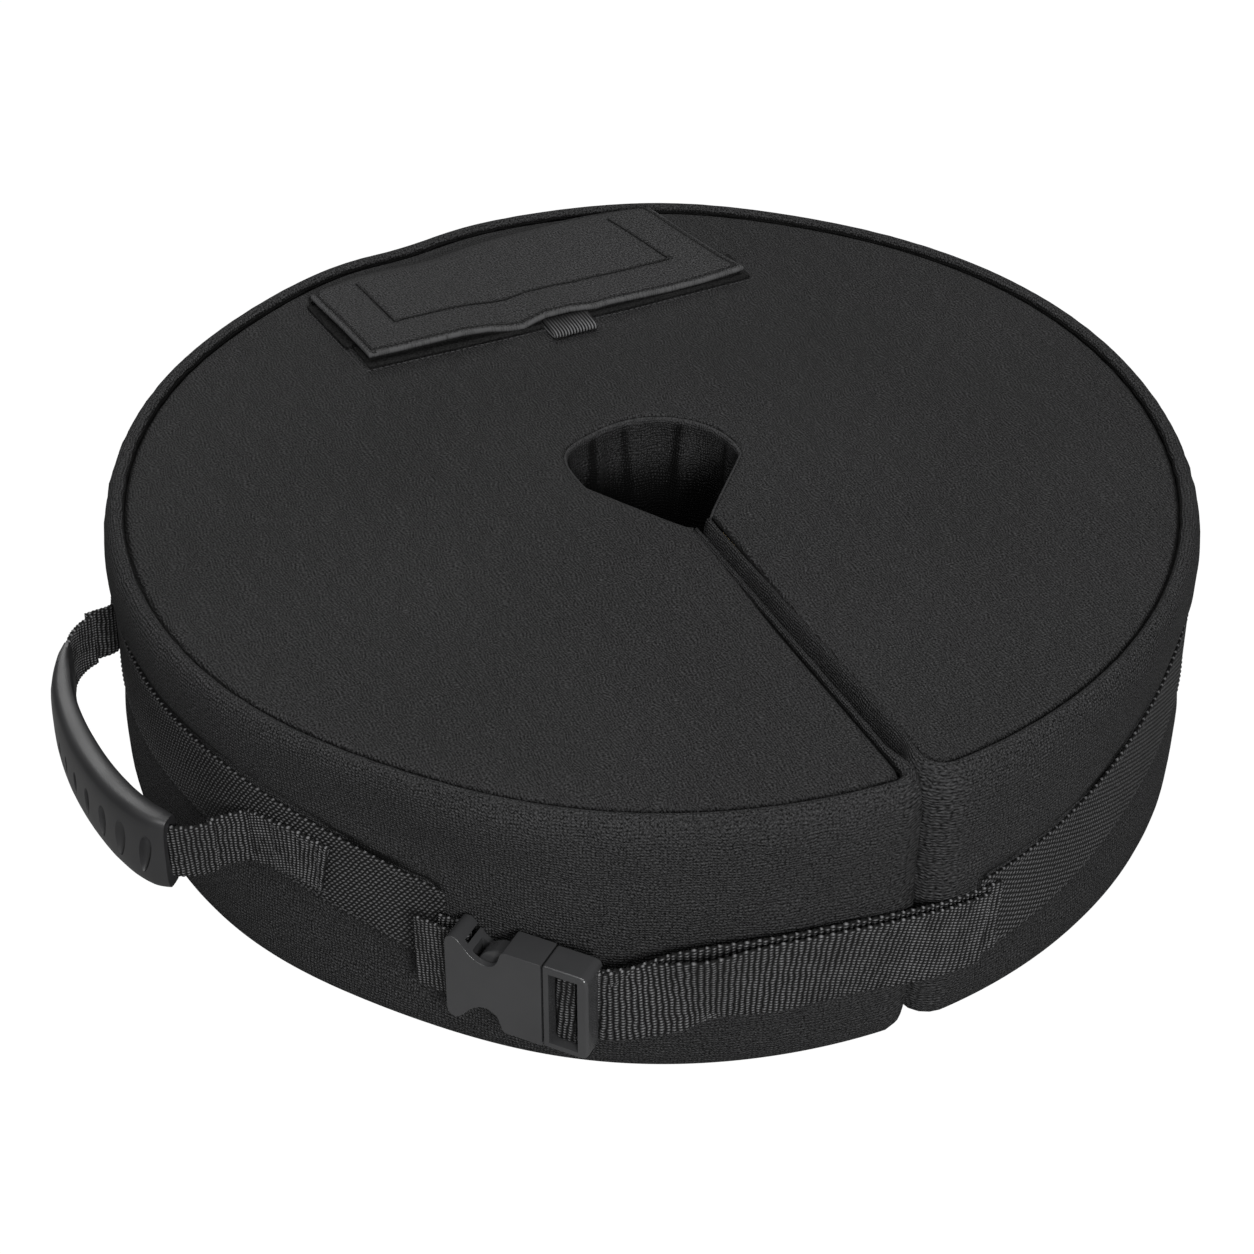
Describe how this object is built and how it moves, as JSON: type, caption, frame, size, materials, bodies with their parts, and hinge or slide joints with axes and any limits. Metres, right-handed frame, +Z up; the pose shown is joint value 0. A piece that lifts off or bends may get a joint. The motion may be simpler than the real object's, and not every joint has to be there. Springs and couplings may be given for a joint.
{
  "type": "sandbag",
  "caption": "Round fabric sandbag weight with a keyhole slit for a pole, a strap and side-release buckle across the slit, a filling flap and a carrying handle.",
  "frame": {"origin": "middle of the whole object's box, on the surface that it stands on", "axes": "+Z up; the slit runs from the pole hole towards -Y, the filling flap lies at +Y and the carrying handle at -X"},
  "size_m": [0.493, 0.4632, 0.1325],
  "materials": {
    "oxford_top": "matte",
    "oxford": "matte",
    "webbing": "matte",
    "touch_tape": "matte",
    "buckle_plastic": "satin",
    "grip_rubber": "satin",
    "sand": "matte"
  },
  "bodies": {
    "bag": {"top_panel": "oxford_top", "bottom_panel": "oxford", "outer_wall": "oxford", "hole_liner": "oxford", "sand_fill": "sand", "belt_webbing": "webbing", "buckle_web_loop": "webbing", "buckle_socket": "buckle_plastic", "flap_rear_hem": "oxford_top", "panel_loop_tape_front": "touch_tape", "panel_loop_tape_left": "touch_tape", "panel_loop_tape_right": "touch_tape", "handle_end_front": "webbing", "handle_end_rear": "webbing"},
    "filling_flap": {"flap_face": "oxford_top", "flap_lining": "oxford", "flap_hook_tape_front": "touch_tape", "flap_hook_tape_left": "touch_tape", "flap_hook_tape_right": "touch_tape", "flap_pull_tab": "webbing"},
    "handle": {"handle_webbing": "webbing", "handle_grip": "grip_rubber"},
    "plug_and_strap": {"buckle_plug": "buckle_plastic", "closing_strap": "webbing"},
    "upper_prong": {"latch_prong_upper": "buckle_plastic"},
    "lower_prong": {"latch_prong_lower": "buckle_plastic"}
  },
  "joints": [
    {"name": "flap_open", "type": "hinge", "parent": "bag", "child": "filling_flap", "pos_m": [0.0319, 0.1938, 0.13255], "axis": [-1, 0, 0], "range_deg": [0, 165]},
    {"name": "handle_swing", "type": "hinge", "parent": "bag", "child": "handle", "pos_m": [-0.2101, 0.0005, 0.066], "axis": [0, 1, 0], "range_deg": [-42, 42]},
    {"name": "buckle_release", "type": "slide", "parent": "bag", "child": "plug_and_strap", "axis": [0.6182, -0.786, 0], "range_m": [0, 0.04]},
    {"name": "upper_prong_press", "type": "hinge", "parent": "plug_and_strap", "child": "upper_prong", "pos_m": [-0.12676, -0.18008, 0.06], "axis": [-0.786, -0.6182, 0], "range_deg": [0, 7], "stiffness_Nm_per_rad": 0.3},
    {"name": "lower_prong_press", "type": "hinge", "parent": "plug_and_strap", "child": "lower_prong", "pos_m": [-0.12676, -0.18008, 0.036], "axis": [0.786, 0.6182, 0], "range_deg": [0, 7], "stiffness_Nm_per_rad": 0.3}
  ]
}
